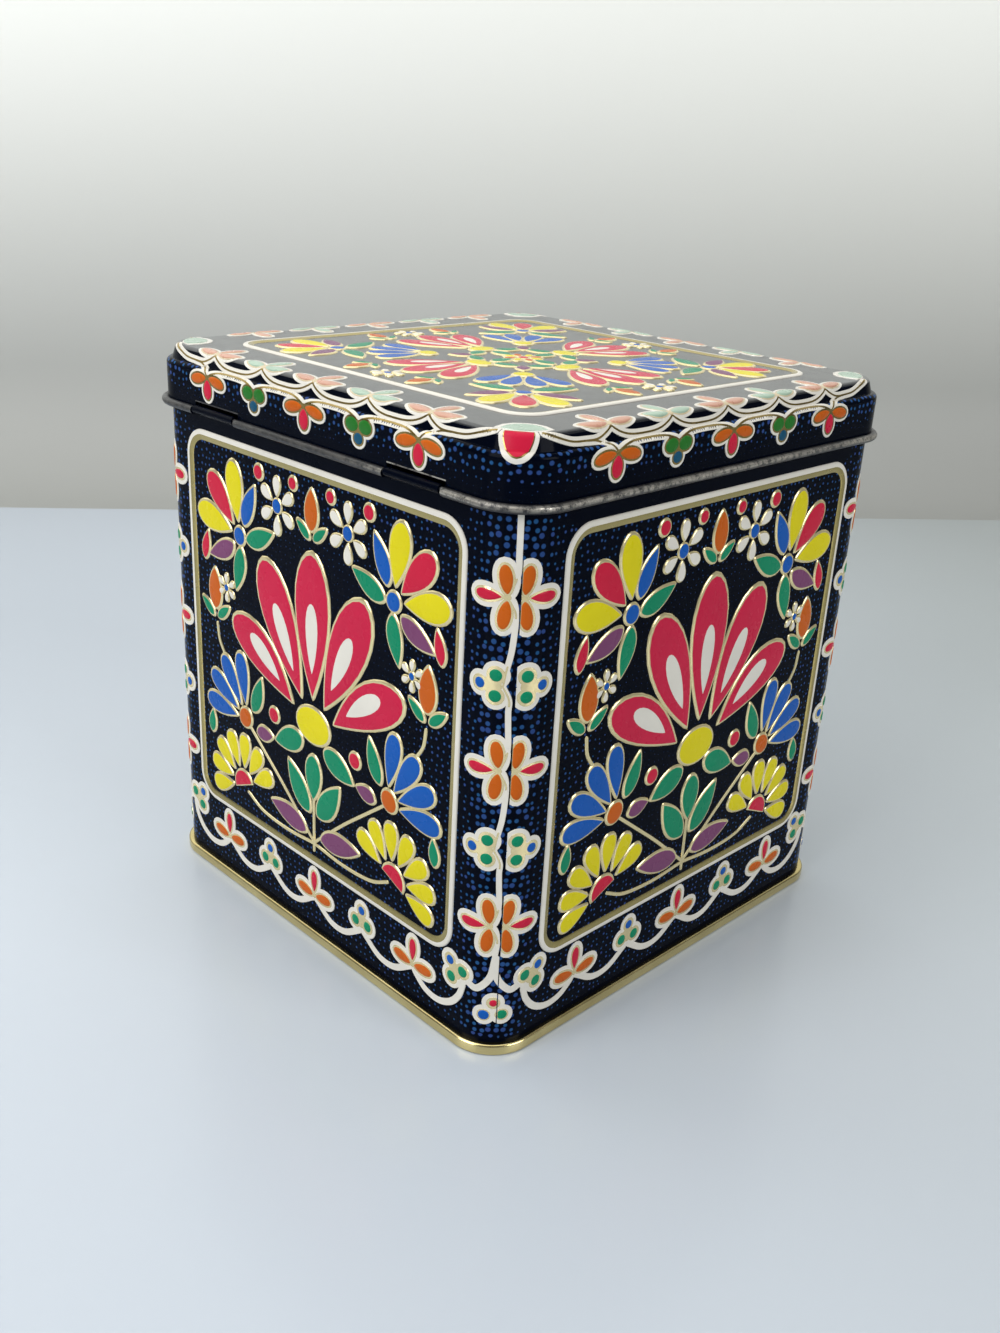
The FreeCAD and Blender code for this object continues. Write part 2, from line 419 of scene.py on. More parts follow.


# The column on a corner. At the lock seam, the two edges of the print meet with a bare line of dark ground between
# them. That line is painted shade for the shadow of the lapped sheet edge.
def corner_column(seam):
    left, right, foot, design = Print(), Print(), Print(), Print()
    reach = 0.7 if seam else 1.3
    for height, kind in zip(COLUMN_HEIGHTS, KINDS):
        left.take(WALL_TREFOILS[kind], (-reach, height), 90)
        right.take(WALL_TREFOILS[kind], (1.1 if seam else reach, height), -90, mirror=True)
    column_vine(left, 1, reach + 0.4, 0.3 if seam else 0.4)
    column_foot(foot)
    design.take(left)
    if not seam:
        column_vine(right, -1, reach + 0.4, 0.4)
        design.take(right)
        design.take(foot)
        return design
    # Clip the print back from the seam, leaving the painted shade line of bare ground
    for part, sides in ((right, (1,)), (foot, (1, -1))):
        for ink, shapes in part.inks.items():
            for shape in shapes:
                for side in sides:
                    cut = clipped(shape if side > 0 else mirrored(shape), SEAM_SHADE_WIDTH / 2 + side * SEAM)
                    if cut is not None:
                        design.add(ink, cut if side > 0 else mirrored(cut))
    return design


def bottom_border():
    design = Print()
    for place, kind in zip(MOTIF_PLACES, KINDS):
        design.take(WALL_TREFOILS[kind], (place, 9.3))
    lines = []
    for left, right in zip(MOTIF_PLACES, MOTIF_PLACES[1:]):
        low = [(left + part * (right - left), 6.3) for part in (0.35, 0.65)]
        lines.append(curve([(left + 0.6, 9.0), *low, (right - 0.6, 9.0)]))
    hook = curve([(42.6, 12.6), (41.7, 9.9), (39.6, 7.4), (36.4, 6.0), (33.0, 6.4), (30.4, 8.2), (29.7, 9.2)])
    for line in (*lines, hook * MIRROR, hook):
        design.add("white", *stroke(line, BORDER_VINE))
    return design


# Lid band in perimeter place and distance from the band's middle line
BAND_LINE = 1.4
BAND_GOLD = 0.3
BAND_CUSPS = {-1: -2.3, 1: 2.1}
BAND_MIDS = {-1: -1.0, 1: 0.2}
PENDANT = 2.15
PENDANT_NECK = np.array([(-1.8, -1.65), (-1.4, -2.9), (1.4, -2.9), (1.8, -1.65)])


# The band's part on the skirt and the crown, and its mirrored trefoils on the top
def lid_band():
    skirt, top = Print(), Print()
    for place, kind in zip(MOTIF_PLACES, KINDS):
        skirt.take(LID_TREFOILS[kind], (place, -PENDANT), 180)
        skirt.add("white", PENDANT_NECK + (place, 0))
        skirt.add("gold", *stroke(np.array([(place, BAND_CUSPS[-1]), (place, -PENDANT - 0.6)]), 0.35))
        top.take(MIRROR_TREFOILS[kind], (place, PENDANT + 0.1))
    t = np.linspace(0, 1, 25)
    arch = 1 - np.abs(2 * t - 1) ** 3.0
    end = MOTIF_PLACES[-1]
    lines = []
    for sign, middle in BAND_MIDS.items():
        cusp = BAND_CUSPS[sign]
        for left, right in zip(MOTIF_PLACES, MOTIF_PLACES[1:]):
            lines.append(np.stack([left + (right - left) * t, cusp + (middle - cusp) * arch], 1))
        far = [(end, cusp), (end + 1.6, 0.2 + 0.45 * cusp), (end + 3.5, 0.35 + 0.15 * sign), (end + 6, 0.5)]
        if sign > 0:
            far += [(end + 9, 0.75), (end + 12, 1.7), (end + 14.5, 2.6)]
        far = curve(far)
        lines += [far, far * MIRROR]
    for line in lines:
        skirt.add("white", *stroke(line, BAND_LINE))
        skirt.add("gold", *stroke(line, BAND_GOLD))
    return skirt, top


def corner_shield():
    design = Print()
    half = [(2.65, 2.6), (2.3, 1.3), (1.75, 0.1), (1.2, -0.75), (0.6, -1.3), (0, -1.5)]
    outline = np.concatenate([curve(half)[:-1] * MIRROR, curve(half[::-1])])
    design.add("red", outline)
    design.add("gold", grown(outline, 0.22))
    design.add("white", grown(outline, 1.0))
    design.flat.add("red")
    return design


# The leaf over a shield, across the corner and inward from the edge of the flat top
def corner_leaf():
    design = Print()
    for ink, half in (("mint", [(0, 0.3), (1, 0.4), (2.2, 0.8), (3.4, 1.6), (2.6, 3.3), (1.4, 4.3), (0, 4.6)]),
                      ("white", [(0, 0.08), (1.6, 0.32), (3.2, 1.15), (4.4, 2.1), (3.2, 4.2), (1.7, 5.3), (0, 5.6)])):
        half = np.array(half)
        design.add(ink, np.concatenate([half, half[-2:0:-1] * MIRROR]))
        design.flat.add(ink)
    return design


# Panel flowers, in millimetres from the panel's middle. Their petals are in parts of the flower's size.
def tulip(design, at, aim, size, ink, outer=True):
    petals = [(0, 1.0, 0.275, 0.0), (26, 0.96, 0.275, 0.0), (-26, 0.96, 0.275, 0.0)]
    if outer:
        petals += [(51, 0.84, 0.24, 0.08), (-51, 0.84, 0.24, -0.08)]
    for turn, reach, width, bend in petals:
        design.emboss(ink, size * petal(0.22, reach - 0.22, width, 1.0, 0.55, bend), at, aim + turn)
        sliver = size * petal(0.36, 0.38 * reach, 0.1, 0.9, 0.5, 0.25 * bend)
        design.add("white", moved(sliver, at, aim + turn))
    design.emboss("green", size * petal(0.1, 0.26, 0.13, 0.6, 0.9), at, aim, (112, 180, 248))
    design.emboss("yellow", size * petal(-0.03, 0.2, 0.28, 0.5, 0.5), at, aim)


def bell(design, at, aim, size, ink, base="orange"):
    design.emboss(ink, size * petal(0.26, 0.74, 0.28, 1.0, 0.45), at, aim, (-39, -13, 13, 39))
    design.emboss(base, size * petal(-0.06, 0.27, 0.3, 0.5, 0.5), at, aim)


def carnation(design, at, aim, size, ink):
    design.emboss(ink, size * petal(0.36, 0.64, 0.31, 1.0, 0.4), at, aim, np.linspace(-84, 84, 7))
    design.emboss("red", arc((0, 0), 0.27 * size, -90, 90, 12), at, aim)


def bud(design, at, aim, size, ink):
    design.emboss(ink, size * petal(0.2, 0.8, 0.4, 0.6, 0.8), at, aim)
    design.emboss("green", size * petal(0.08, 0.48, 0.18, 0.6, 0.9), at, aim, (54, -54))


def lily(design, at, aim, size):
    shape = size * petal(0.2, 0.8, 0.36, 1.0, 0.55)
    design.emboss("yellow", shape, at, aim, (36, -36))
    design.emboss("red", shape, at, aim)
    design.emboss("blue", disc(0.12 * size), at)


def star(design, at, size):
    design.emboss("white", size * petal(0.34, 0.66, 0.38, 0.9, 0.5), at, 30, range(0, 360, 60), 0.3)
    design.emboss("blue", disc(0.24 * size), at, edge=0.3)


def leaves(design, *rows):
    for at, aim, length, width, bend, ink in rows:
        design.emboss(ink, petal(0, length, width, 0.7, 1.0, bend), at, aim)


def stem(design, *points):
    design.add("gold", *stroke(curve(points), 0.6))


def wall_flowers():
    half = Print()
    stem(half, (0.3, -34), (9, -26.5), (16, -21), (20.5, -17.5))
    bell(half, (21.3, -16.6), 42, 14.4, "blue")
    stem(half, (0.3, -34.5), (9, -35.2), (17, -34.6), (22, -32.5))
    carnation(half, (23.4, -31.4), 66, 11.4, "yellow")
    leaves(half, ((1.2, -28), 46, 11, 4.8, 1.2, "green"), ((2.2, -32.6), 14, 11.8, 4.4, -0.8, "mauve"),
           ((18.2, -17.6), 166, 5.4, 3.0, 0.4, "mauve"), ((19.6, -13.6), 120, 8.6, 3.4, -1.2, "green"))
    stem(half, (28.6, -5), (30.6, -2), (31.2, 1.4))
    bud(half, (31.4, 2.4), 90, 10.4, "orange")
    lily(half, (22.4, 21.4), 46, 14.2)
    leaves(half, ((20.2, 21.2), 168, 9.2, 3.6, -1.4, "green"), ((22.2, 19.2), -86, 9, 3.6, 1.2, "green"),
           ((24.4, 19.4), -34, 9.2, 3.6, 1.4, "mauve"), ((20.8, 23.8), 106, 9, 3.6, 1.2, "blue"),
           ((34.6, 14), 98, 6, 2.4, 0.6, "red"))
    star(half, (10.2, 30), 5.4)
    star(half, (27.4, 9.8), 2.8)
    for at, radius in (((12.4, -11.8), 1.5), ((15.8, 35), 1.3), ((5.4, 35.2), 1.1)):
        half.emboss("red", disc(radius), at)
    leaves(half, ((34.4, -23.4), 92, 5.2, 2.4, 0.4, "green"))
    design = Print()
    design.take(half)
    design.take(half, mirror=True)
    stem(design, (0, -36), (0, -22))
    tulip(design, (0, -12), 90, 36, "crimson")
    bud(design, (0, 26), 90, 9.4, "orange")
    return design


def lid_flowers():
    arm, design = Print(), Print()
    tulip(arm, (0, 10.2), 90, 19.8, "crimson", outer=False)
    bell(arm, (12.2, 12.2), 45, 12.6, "blue", "yellow")
    leaves(arm, ((6.9, 6.9), 45, 4.4, 2.6, 0.0, "mauve"))
    lily(arm, (25.2, 25.2), 45, 11.6)
    leaves(arm, ((27, 24), -26, 8, 3.2, 0.8, "mauve"), ((24, 27), 116, 8, 3.2, -0.8, "mauve"),
           ((25, 22.8), -80, 8.5, 3.4, 1.0, "green"), ((22.8, 25), 170, 8.5, 3.4, -1.0, "green"))
    star(arm, (0, 33.6), 3.0)
    bud(arm, (8.6, 29.6), 92, 6.8, "orange")
    bud(arm, (-8.6, 29.6), 88, 6.8, "orange")
    for turn in (0, 90, 180, 270):
        design.take(arm, turn=turn)
    for turn in range(8):
        design.emboss("orange" if turn % 2 else "yellow", petal(1.5, 2.4, 1.4, 0.8, 0.6), (0, 0), 45 * turn + 22.5)
    design.emboss("red", disc(1.0), (0, 0))
    return design


# Raised print: an ink's joined outline becomes a plate, and an ink's single shapes become cushions
PLATE_HEIGHTS = {"white": 0.10, "gold": 0.14}
PLATE_SPREAD = 0.6
FLAT_INK = 0.2
CUSHION_FOOT = 0.12
CUSHION_TOP = 0.28
EMBOSSED = 0.24
EMBOSSED_TOP = 0.32
STRIPE_FOOT = 0.31
STRIPE_TOP = 0.345
SUNK = -0.03
WELD = 1e-4
NO_PUSH = 1e-6

# A cushion's rings by scale and part of its rise, and a gold edge's by part of its width and height
CUSHION_RINGS = ((1.0, 0.0), (0.9, 0.6), (0.65, 0.9))
CUSHION_DEPTH = 0.05
EDGE_RINGS = ((1.0, SUNK), (0.8, 0.35 * EMBOSSED), (0.35, 0.85 * EMBOSSED), (0, EMBOSSED))


class Relief:
    def __init__(self):
        self.verts = {}
        self.faces = {}

    def add(self, ink, verts, faces):
        base = sum(len(v) for v in self.verts.get(ink, []))
        self.verts.setdefault(ink, []).append(verts)
        self.faces.setdefault(ink, []).extend([base + i for i in face] for face in faces)

    def plate(self, ink, shapes, place, height, spacing):
        coords, outlines = [], []
        for shape in map(anticlockwise, shapes):
            outlines.append(list(range(len(coords), len(coords) + len(shape))))
            coords.extend(map(Vector, shape.tolist()))
        if spacing:
            every = np.concatenate(shapes)
            columns, rows = (np.arange(low + step / 2, high, step)
                             for low, high, step in zip(every.min(0), every.max(0), spacing))
            coords.extend(Vector((x, y)) for x in columns for y in rows)
        flat, _, triangles, _, _, _ = delaunay_2d_cdt(coords, [], outlines, 1, WELD)
        flat, triangles = np.array(flat, float), np.array(triangles)
        middles = flat[triangles].mean(1)
        covered = np.any([lies_within(shape, middles) for shape in shapes], 0)
        used, triangles = np.unique(triangles[covered], return_inverse=True)
        flat, triangles = flat[used], triangles.reshape(-1, 3).tolist()
        edges = dict.fromkeys(edge for a, b, c in triangles for edge in ((a, b), (b, c), (c, a)))
        rim = [edge for edge in edges if edge[::-1] not in edges]
        starts, ends = np.array(rim).T
        normals = to_right(flat[ends] - flat[starts])
        push = np.zeros_like(flat)
        np.add.at(push, starts, normals)
        np.add.at(push, ends, normals)
        push = np.where(np.hypot(*push.T)[:, None] > NO_PUSH, unit(push), 0) * height * PLATE_SPREAD
        count = len(flat)
        faces = triangles + [[i + count for i in reversed(triangle)] for triangle in triangles]
        faces += [[a, a + count, b + count, b] for a, b in rim]
        self.add(ink, np.concatenate([place(*flat.T, height), place(*(flat + push).T, SUNK)]), faces)

    # Closed stack of rings, each the shape grown or scaled about its middle, and a height
    def stack(self, ink, shape, place, rings):
        shape = anticlockwise(shape)
        count = len(shape)
        middle = shape.mean(0)
        verts, faces = [], []
        for reach, scale, height in rings:
            ring = middle + (grown(shape, reach) - middle) * scale
            verts.append(place(*ring.T, height))
        for height in (rings[-1][2] + 0.01, rings[0][2]):
            verts.append(place(middle[:1], middle[1:], height))
        for ring in range(len(rings) - 1):
            faces += ring_quads(count, ring * count, (ring + 1) * count)
        last = (len(rings) - 1) * count
        crown, floor = last + count, last + count + 1
        for i in range(count):
            j = (i + 1) % count
            faces += [[last + i, last + j, crown], [j, i, floor]]
        self.add(ink, np.concatenate(verts), faces)

    def cushion(self, ink, shape, place, foot, top):
        rings = [(0, scale, foot + part * (top - foot)) for scale, part in CUSHION_RINGS]
        self.stack(ink, shape, place, [(0, 1.0, foot - CUSHION_DEPTH), *rings])

    def print(self, design, place, spacing=None):
        foot, top = (STRIPE_FOOT, STRIPE_TOP) if design.raised else (CUSHION_FOOT, CUSHION_TOP)
        for ink, shapes in design.inks.items():
            if ink in design.flat or (ink in PLATE_HEIGHTS and not (ink == "white" and design.raised)):
                self.plate(ink, shapes, place, PLATE_HEIGHTS.get(ink, FLAT_INK), spacing)
                continue
            for shape in shapes:
                self.cushion(ink, shape, place, foot, top)
        for ink, shape, edge in design.raised:
            self.stack("gold", shape, place, [(part * edge, 1.0, height) for part, height in EDGE_RINGS])
            self.cushion(ink, shape, place, EMBOSSED - 0.02, EMBOSSED_TOP)

    def build(self, prefix, materials, body, slot):
        for ink in self.verts:
            name = f"{prefix}_{ink}"
            obj = add_object(name, np.concatenate(self.verts[ink]), self.faces[ink], [materials[ink]], sharp=50)
            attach(obj, body)


# Lid section outside, from the curl's top edge up to the flat top
CURL_JOIN = CURL_Z + math.sqrt(CURL ** 2 - (HINGE_OUT - SKIRT_OUT) ** 2)
CROWN_EDGE = CROWN_TIP - 1.1 * CROWN_ROUND
SHOULDER = 0.95
CREASE = 0.12
SHOULDER_FOOT = LEDGE - SHOULDER - 0.1
SKIRT_ROWS = np.linspace(NOTCH_HIGH + 0.6, LEDGE - SHOULDER - 0.3, 12)
LID_OUTSIDE = path(
    [(SKIRT_OUT, z) for z in (CURL_JOIN, NOTCH_HIGH, NOTCH_HIGH + NOTCH_EDGE, *SKIRT_ROWS)],
    rounded([(SKIRT_OUT, SHOULDER_FOOT), (SKIRT_OUT, LEDGE, SHOULDER), (CROWN_FOOT, LEDGE, CREASE),
             (CROWN_TIP, LID_TOP, CROWN_ROUND), (CROWN_EDGE, LID_TOP)]),
)
LID_LENGTHS = along(LID_OUTSIDE)
LID_NORMALS = to_right(np.gradient(LID_OUTSIDE, axis=0))
BAND_MIDDLE = 8.45
TOP_START = 10.4
LID_SHIFT = -0.9
TOP_LIFT = 0.012
INNERMOST = 0.05 - CORNER


# Where a design's points and a height above the sheet lie on a wall, round the lid's edge and on its flat top
def wall_place(side_middle, middle=0.0):
    def place(u, v, h):
        x, y = around(side_middle + u, h)
        return np.stack([x, y, v + middle], 1)
    return place


def lid_place(side_middle, lift=0.0):
    def place(u, w, h):
        v = w + BAND_MIDDLE
        d, z, normal_d, normal_z = (np.interp(v, LID_LENGTHS, row) for row in (*LID_OUTSIDE.T, *LID_NORMALS.T))
        out = d - np.clip(v - LID_LENGTHS[-1], 0, None) + (h + lift) * normal_d
        x, y = around(side_middle + u, np.maximum(out, INNERMOST))
        deep = np.clip(INNERMOST - out, 0, None)
        angle = np.round((side_middle + u) / SIDE) * math.pi / 2
        return np.stack([x - deep * np.sin(angle), y + deep * np.cos(angle), z + (h + lift) * normal_z], 1)
    return place


def lid_top_place(u, v, h):
    return np.stack([u, v, np.full_like(u, LID_TOP + h)], 1)


def lid_corner_place(side):
    angle = side * math.pi / 2 - math.pi / 4
    reach = FLAT * math.sqrt(2) + CORNER + CROWN_EDGE

    def place(u, v, h):
        out = reach - v
        x = out * math.cos(angle) - u * math.sin(angle)
        y = out * math.sin(angle) + u * math.cos(angle)
        return lid_top_place(x, y, h + TOP_LIFT)
    return place


# A pressed frame by inset and height: a rounded band whose outer part is white and whose inner edge is gold
FRAME_WHITE = [(0, SUNK), (0.05, 0.14), (0.2, 0.24), (0.5, 0.28), (0.95, 0.29)]
FRAME_GOLD = [(0.95, 0.29), (1.15, 0.27), (1.5, 0.19), (1.85, 0.09), (2.1, SUNK)]


def frame_band(relief, low, high, place):
    middle = (low + high) / 2
    tall = (high - low) / 2

    def ring(inset):
        loop = []
        for sign_u, sign_v, start in ((1, 1, 0), (-1, 1, 90), (-1, -1, 180), (1, -1, 270)):
            centre = (sign_u * (FRAME_HALF - FRAME_ROUND), middle + sign_v * (tall - FRAME_ROUND))
            loop.append(arc(centre, FRAME_ROUND - inset, start, start + 90, 10))
        return np.concatenate(loop)

    for ink, part in (("white", FRAME_WHITE), ("frame_gold", FRAME_GOLD)):
        rows = part + [(part[-1][0], SUNK), (part[0][0], SUNK)]
        verts = [place(*ring(inset).T, height) for inset, height in rows]
        count = len(verts[0])
        faces = []
        for row in range(len(rows)):
            faces += ring_quads(count, row * count, (row + 1) % len(rows) * count)
        relief.add(ink, np.concatenate(verts), faces)


# A material's nodes: each method adds some and gives the socket that comes out of them
class Shading:
    def __init__(self, name):
        self.material = bpy.data.materials.new(name)
        self.material.use_nodes = True
        self.tree = self.material.node_tree
        self.where = self.node("ShaderNodeTexCoord").outputs["Object"]

    def assign(self, made, inputs):
        for key, value in inputs.items():
            if isinstance(value, bpy.types.NodeSocket):
                self.tree.links.new(value, made.inputs[key])
            else:
                made.inputs[key].default_value = value

    def node(self, kind, inputs=None, **settings):
        made = self.tree.nodes.new(kind)
        for key, value in settings.items():
            setattr(made, key, value)
        self.assign(made, inputs or {})
        return made

    def calc(self, operation, a, b=0.0):
        return self.node("ShaderNodeMath", {0: a, 1: b}, operation=operation).outputs[0]

    def product(self, first, *others):
        for other in others:
            first = self.calc("MULTIPLY", first, other)
        return first

    def opposite(self, value):
        return self.calc("SUBTRACT", 1.0, value)

    def axes(self, vector):
        return tuple(self.node("ShaderNodeSeparateXYZ", {0: vector}).outputs)

    def sheet_place(self):
        return self.node("ShaderNodeUVMap", uv_map="place").outputs["UV"]

    def noise(self, scale, detail=3.0, roughness=0.55, vector=None):
        vector = self.where if vector is None else vector
        inputs = {"Vector": vector, "Scale": scale, "Detail": detail, "Roughness": roughness}
        return self.node("ShaderNodeTexNoise", inputs).outputs["Fac"]

    def ramp(self, value, low, high, to_low=0.0, to_high=1.0):
        inputs = {"Value": value, "From Min": low, "From Max": high, "To Min": to_low, "To Max": to_high}
        return self.node("ShaderNodeMapRange", inputs, interpolation_type="SMOOTHSTEP").outputs["Result"]

    def mixed(self, factor, *colours):
        a, b = (colour if isinstance(colour, bpy.types.NodeSocket) else (*colour, 1) for colour in colours)
        return self.node("ShaderNodeMix", {0: factor, 6: a, 7: b}, data_type="RGBA").outputs[2]

    def bumped(self, scale, strength, distance):
        inputs = {"Height": self.noise(scale), "Strength": strength, "Distance": distance}
        return self.node("ShaderNodeBump", inputs).outputs["Normal"]

    def finish(self, inputs):
        self.assign(self.tree.nodes["Principled BSDF"], inputs)
        return self.material


def ink_material(name, colour, roughness=0.28, metallic=0.0, ior=1.5, gloss=0.12):
    mat = Shading(name)
    return mat.finish({
        "Base Color": mat.mixed(mat.noise(90.0), [0.78 * c for c in colour], colour),
        "Roughness": mat.ramp(mat.noise(220.0), 0.3, 0.7, roughness - 0.05, roughness + 0.06),
        "Metallic": metallic,
        "IOR": ior,
        "Specular IOR Level": gloss,
        "Normal": mat.bumped(400.0, 0.04, 0.0003),
    })


# Inks by colour, roughness and metal, and the paler ones that lie under the reflection on the lid's top edge
INKS = {
    "white": ((0.80, 0.765, 0.68), 0.34),
    "gold": ((0.88, 0.75, 0.42), 0.2, 0.7),
    "frame_gold": ((0.50, 0.405, 0.165), 0.22, 1.0),
    "crimson": ((0.60, 0.014, 0.06), 0.26),
    "red": ((0.60, 0.014, 0.05), 0.26),
    "yellow": ((0.76, 0.66, 0.008), 0.28),
    "green": ((0.004, 0.25, 0.12), 0.26),
    "leaf": ((0.022, 0.17, 0.022), 0.26),
    "blue": ((0.006, 0.10, 0.44), 0.26),
    "petrol": ((0.010, 0.085, 0.16), 0.26),
    "orange": ((0.58, 0.115, 0.008), 0.28),
    "mauve": ((0.20, 0.06, 0.15), 0.28),
}
PALE_INKS = {
    "white": (0.80, 0.765, 0.68),
    "gold": (0.62, 0.50, 0.30),
    "blush": (0.60, 0.30, 0.20),
    "mint": (0.36, 0.50, 0.38),
}
TOP_IOR = 1.78
TOP_GLOSS = 0.5
GROUND_GLOSS = 0.03
ink_materials = {ink: ink_material(f"ink_{ink}", *settings) for ink, settings in INKS.items()}
lid_materials = dict(ink_materials, gold=ink_material("ink_lid_gold", (0.42, 0.30, 0.10), 0.24, 1.0))
top_materials = {ink: ink_material(f"top_{ink}", colour, ior=TOP_IOR, gloss=TOP_GLOSS)
                 for ink, colour in PALE_INKS.items()}
DOT_SPACING = 1.4


# Near-black lacquer with a ground of small blue dots, by perimeter place and height
def ground_material(name, size_of, gloss=GROUND_GLOSS, ior=1.5):
    mat = Shading(name)
    uv = mat.sheet_place()
    inputs = {"Vector": uv, "Scale": 1 / DOT_SPACING, "Randomness": 0.5}
    cells = mat.node("ShaderNodeTexVoronoi", inputs, voronoi_dimensions="2D").outputs
    size = mat.product(size_of(mat, *mat.axes(uv)[:2]), mat.ramp(cells["Color"], 0.0, 1.0, 0.75, 1.1))
    dots = mat.ramp(mat.calc("SUBTRACT", size, cells["Distance"]), -0.03, 0.11)
    hue = mat.node("ShaderNodeSeparateColor", {0: cells["Color"]}).outputs[1]
    blue = mat.mixed(hue, (0.022, 0.12, 0.28), (0.042, 0.062, 0.25))
    dim = mat.mixed(mat.noise(60.0), (0.008, 0.045, 0.14), blue)
    dark = mat.mixed(mat.noise(35.0), (0.0006, 0.0012, 0.004), (0.001, 0.0024, 0.008))
    return mat.finish({
        "Base Color": mat.mixed(dots, dark, dim),
        "Roughness": mat.ramp(mat.noise(240.0), 0.3, 0.7, 0.12, 0.2),
        "IOR": ior,
        "Specular IOR Level": gloss,
        "Normal": mat.bumped(130.0, 0.05, 0.0004),
    })


# Distance along a side from its middle
def from_side_middle(mat, s):
    turns = mat.calc("FRACT", mat.calc("ADD", mat.calc("DIVIDE", s, SIDE), 0.5))
    return mat.calc("ABSOLUTE", mat.product(mat.calc("SUBTRACT", turns, 0.5), SIDE))


# Size of the dots: small in the panel's middle, larger on the columns, none above the frame or at the rim
def wall_dots(mat, s, z):
    u = from_side_middle(mat, s)
    v = mat.calc("ABSOLUTE", mat.calc("SUBTRACT", z, PANEL_MIDDLE))
    radius = mat.calc("MAXIMUM", u, v)
    outside = mat.calc("GREATER_THAN", radius, FRAME_HALF)
    column = mat.ramp(u, FRAME_HALF + 0.5, SIDE / 2 - 2.5, 0.19, 0.36)
    panel = mat.ramp(radius, 18.0, 36.0, 0.07, 0.2)
    size = mat.calc("ADD", mat.product(column, outside), mat.product(panel, mat.opposite(outside)))
    above_frame = mat.product(mat.calc("GREATER_THAN", z, FRAME_HIGH), mat.calc("LESS_THAN", u, FRAME_HALF))
    above_rim = mat.ramp(z, RIM_HEIGHT + 0.6, RIM_HEIGHT + 1.6)
    return mat.product(size, above_rim, mat.opposite(above_frame))


def lid_dots(mat, s, v):
    return mat.product(mat.ramp(v, 0.8, 6.0, 0.04, 0.3), mat.calc("LESS_THAN", v, 8.2))


def no_dots(mat, s, v):
    return 0.0


body_ground = ground_material("body_lacquer", wall_dots)
lid_ground = ground_material("lid_lacquer", lid_dots)
top_ground = ground_material("lid_top_lacquer", no_dots, TOP_GLOSS, TOP_IOR)


def metal_material(name, bright, dark, low, high, scale):
    mat = Shading(name)
    return mat.finish({
        "Base Color": mat.mixed(mat.ramp(mat.noise(scale), 0.35, 0.65), dark, bright),
        "Roughness": mat.ramp(mat.noise(2 * scale), 0.25, 0.75, low, high),
        "Metallic": 1.0,
        "Normal": mat.bumped(60.0, 0.05, 0.0005),
    })


tin = metal_material("bare_tin", (0.66, 0.64, 0.59), (0.60, 0.58, 0.53), 0.26, 0.34, 40.0)
gold_lacquer = metal_material("gold_lacquer_tin", (0.72, 0.60, 0.29), (0.63, 0.51, 0.23), 0.16, 0.24, 70.0)
wire_steel = metal_material("drawn_steel", (0.50, 0.50, 0.50), (0.40, 0.40, 0.40), 0.25, 0.35, 300.0)


# Lacquer of the lid's curl, worn to the metal in specks, patches and streaks. The worn metal lies in a band along the
# curl's outer edge where it faces slightly upward, which is a painted highlight. It is weaker on the hinge side,
# which is painted shade.
def curl_material():
    mat = Shading("curl_wear_and_highlight")
    x, y, _ = mat.axes(mat.where)
    upward = mat.axes(mat.node("ShaderNodeNewGeometry").outputs["Normal"])[2]
    # Painted highlight: a band where the curl's surface faces slightly upward
    edge = mat.ramp(mat.calc("ABSOLUTE", mat.calc("SUBTRACT", upward, 0.25)), 0.85, 0.15)
    # Painted shade: the hinge side gets far less of the bright metal
    hinge_side_shade = mat.ramp(mat.calc("ADD", y, mat.product(x, 0.15)), 0.046, 0.0515)
    inputs = {0: mat.sheet_place(), 1: (0.09, 4.0, 1.0)}
    drawn = mat.node("ShaderNodeVectorMath", inputs, operation="MULTIPLY").outputs[0]
    streaks = mat.ramp(mat.noise(1.0, 2.0, vector=drawn), 0.3, 0.7, 0.45, 1.1)
    speckle = mat.ramp(mat.noise(900.0, 5.0, 0.75), 0.36, 0.6)
    patches = mat.ramp(mat.noise(70.0), 0.25, 0.55, 0.35, 1.0)
    wear_and_highlight = mat.product(speckle, patches, edge, streaks, mat.ramp(hinge_side_shade, 0, 1, 1.0, 0.1))
    return mat.finish({
        "Base Color": mat.mixed(wear_and_highlight, (0.010, 0.010, 0.012), (0.62, 0.58, 0.50)),
        "Metallic": wear_and_highlight,
        "Roughness": mat.ramp(mat.noise(500.0), 0.3, 0.7, 0.28, 0.45),
        "Normal": mat.bumped(800.0, 0.12, 0.0002),
    })


curl_wear_and_highlight = curl_material()

# Body: one sheet, folded in at the mouth, with the windows of the two hinge tabs
HEM_DEPTH = 2.6
HEM_ROUND = 0.45
TAB_BEND = 0.35
TAB_SLOPE = 20.0
TAB_ROLL = 280.0
slope = math.radians(TAB_SLOPE)
tab_run = HINGE_OUT + CURL * math.sin(slope) - TAB_BEND * (1 - math.sin(slope))
TAB_ROOT = HINGE_Z - (CURL + TAB_BEND) * math.cos(slope) - tab_run * math.tan(slope)
TAB_LENGTH = TAB_BEND * math.radians(90 - TAB_SLOPE) + tab_run / math.cos(slope) + CURL * math.radians(TAB_ROLL)
WINDOW_HALF = KNUCKLE_WIDTH / 2 + 0.2
WALL_LOW = 0.66
heights = [WALL_LOW, 30.0, 60.0, 90.0, TAB_ROOT, TAB_ROOT + TAB_LENGTH]
hem_end = BODY_TOP - HEM_DEPTH
hem_centre = (-HEM_ROUND, BODY_TOP - HEM_ROUND)
body_section = path(
    [(0, z) for z in heights],
    arc(hem_centre, HEM_ROUND, 0, 180, HEM_STEPS),
    (-2 * HEM_ROUND, hem_end),
    (SHEET - 2 * HEM_ROUND, hem_end),
    arc(hem_centre, HEM_ROUND - SHEET, 180, 0, 6),
    [(-SHEET, z) for z in reversed(heights)],
)
outer_count = len(heights)
inner_start = len(body_section) - outer_count
